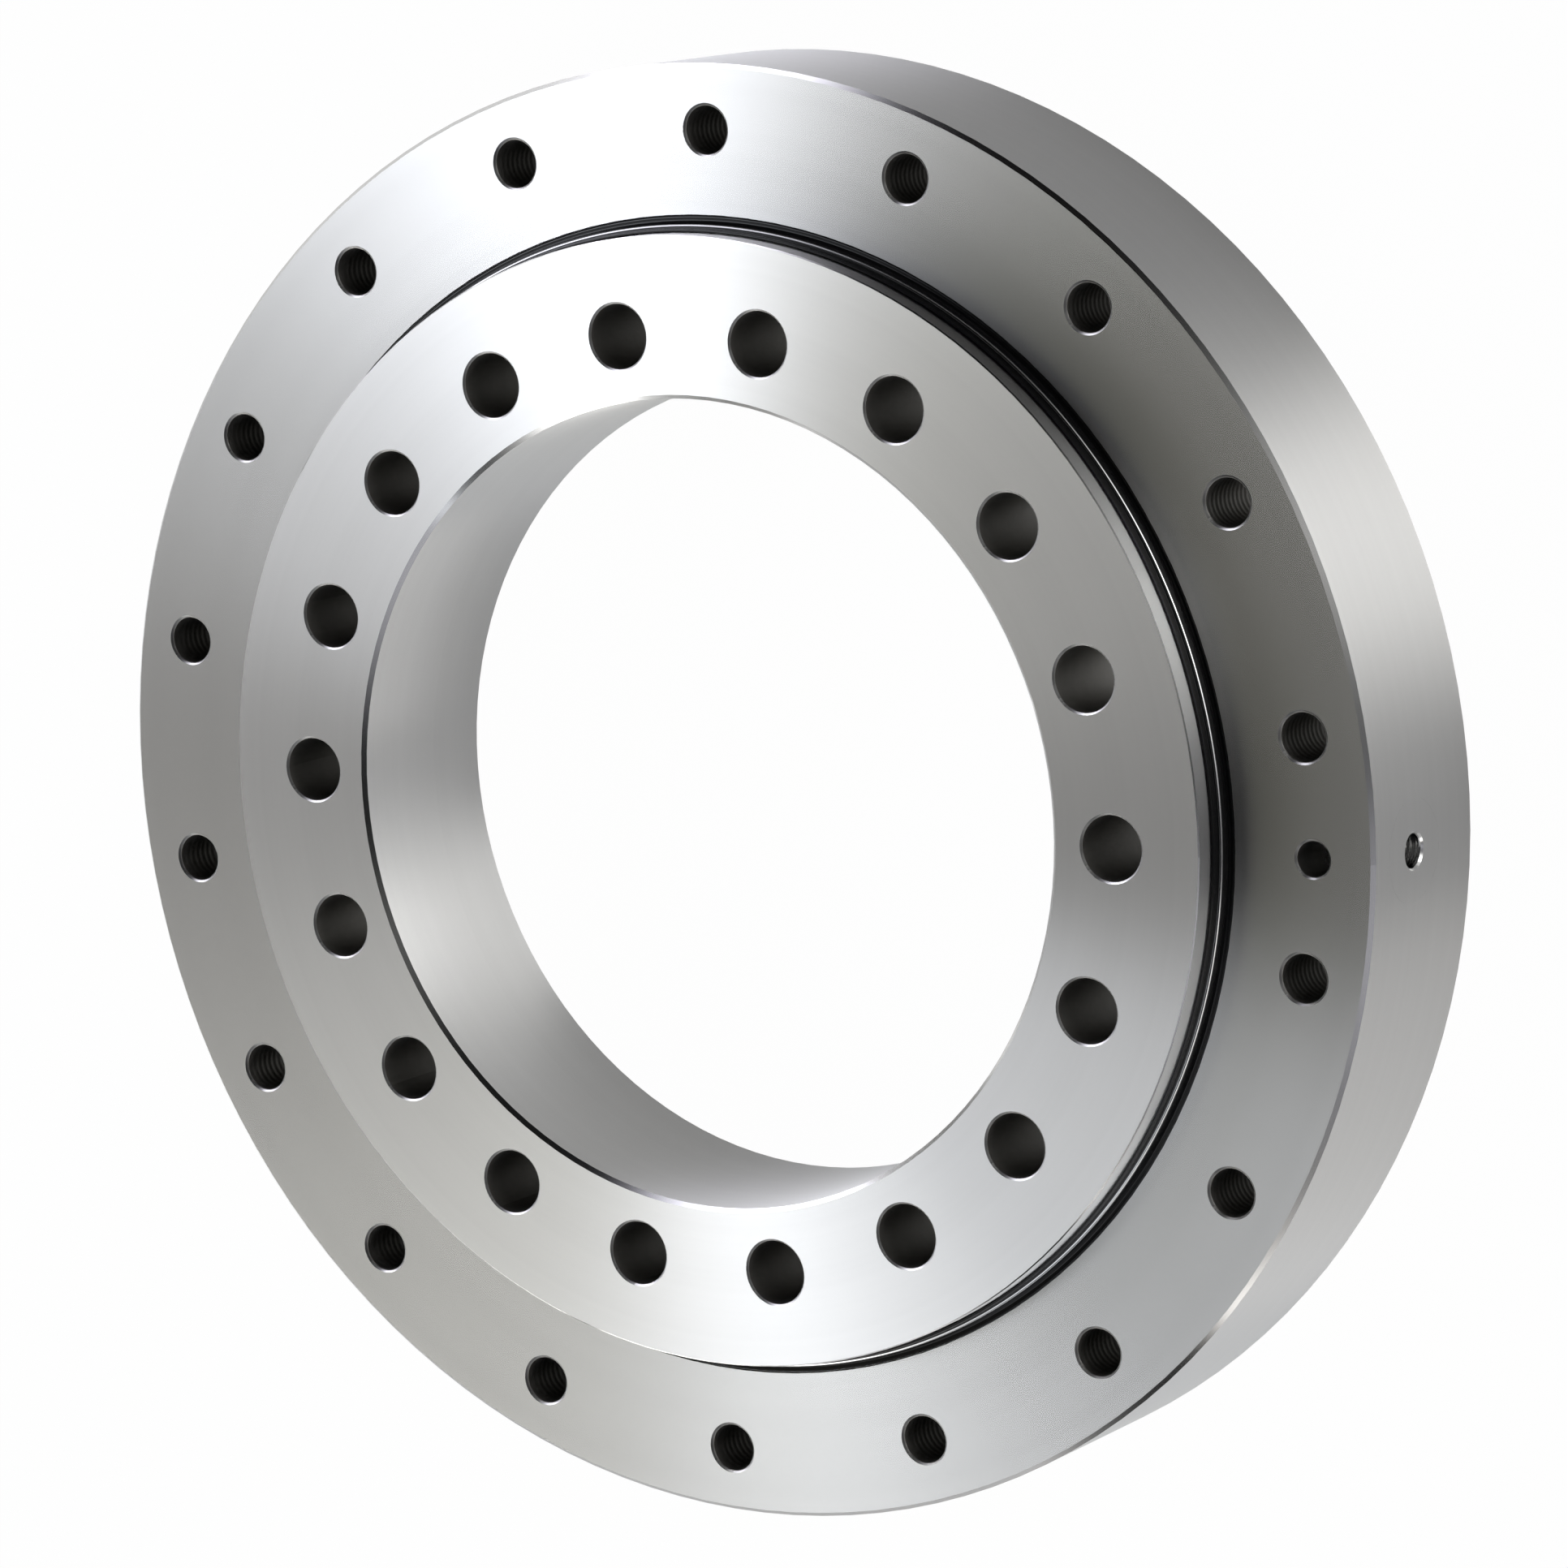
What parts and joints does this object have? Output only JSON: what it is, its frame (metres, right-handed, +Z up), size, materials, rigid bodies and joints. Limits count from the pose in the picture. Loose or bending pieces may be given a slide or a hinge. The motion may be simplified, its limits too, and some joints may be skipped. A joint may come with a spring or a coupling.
{
  "type": "slewing ring bearing",
  "caption": "Slewing ring bearing without teeth: an inner and an outer steel ring, each with a circle of bolt holes, turn on a sealed row of balls.",
  "frame": {"origin": "on the turning axis, in the plane of the outer ring's back face, which the part rests on", "axes": "+Z up along the turning axis, from the outer ring's back face to the inner ring's proud face; +X out through the ball loading plug in the outer ring"},
  "size_m": [0.36, 0.36, 0.06],
  "materials": {
    "ring_steel": "fine turned, bright",
    "seal_rubber": "glossy moulded",
    "plug_steel": "turned with the ring",
    "pin_steel": "ground",
    "screw_steel": "black oxide",
    "ball_steel": "polished",
    "spacer_nylon": "moulded natural nylon"
  },
  "bodies": {
    "outer_assembly": {"outer_ring": "ring_steel", "upper_seal": "seal_rubber", "loading_plug": "plug_steel", "taper_pin": "pin_steel", "grease_screw_1": "screw_steel", "grease_screw_2": "screw_steel"},
    "inner_assembly": {"inner_ring": "ring_steel", "lower_seal": "seal_rubber"},
    "ball_row": {"ball_01": "ball_steel", "ball_02": "ball_steel", "ball_03": "ball_steel", "ball_04": "ball_steel", "ball_05": "ball_steel", "ball_06": "ball_steel", "ball_07": "ball_steel", "ball_08": "ball_steel", "ball_09": "ball_steel", "ball_10": "ball_steel", "ball_11": "ball_steel", "ball_12": "ball_steel", "ball_13": "ball_steel", "ball_14": "ball_steel", "ball_15": "ball_steel", "ball_16": "ball_steel", "ball_17": "ball_steel", "ball_18": "ball_steel", "ball_19": "ball_steel", "ball_20": "ball_steel", "ball_21": "ball_steel", "ball_22": "ball_steel", "ball_23": "ball_steel", "ball_24": "ball_steel", "ball_25": "ball_steel", "ball_26": "ball_steel", "ball_27": "ball_steel", "ball_28": "ball_steel", "ball_29": "ball_steel", "ball_30": "ball_steel", "ball_31": "ball_steel", "ball_32": "ball_steel", "ball_33": "ball_steel", "ball_34": "ball_steel", "ball_35": "ball_steel", "ball_36": "ball_steel", "ball_spacers": "spacer_nylon"}
  },
  "joints": [
    {"name": "inner_ring_turn", "type": "hinge", "parent": "outer_assembly", "child": "inner_assembly", "pos_m": [0, 0, 0.03], "axis": [0, 0, 1], "continuous": true},
    {"name": "ball_row_turn", "type": "hinge", "parent": "outer_assembly", "child": "ball_row", "pos_m": [0, 0, 0.03], "axis": [0, 0, 1], "continuous": true}
  ],
  "couplings": [
    {"joint": "ball_row_turn", "follows": "inner_ring_turn", "ratio": 0.47475}
  ]
}
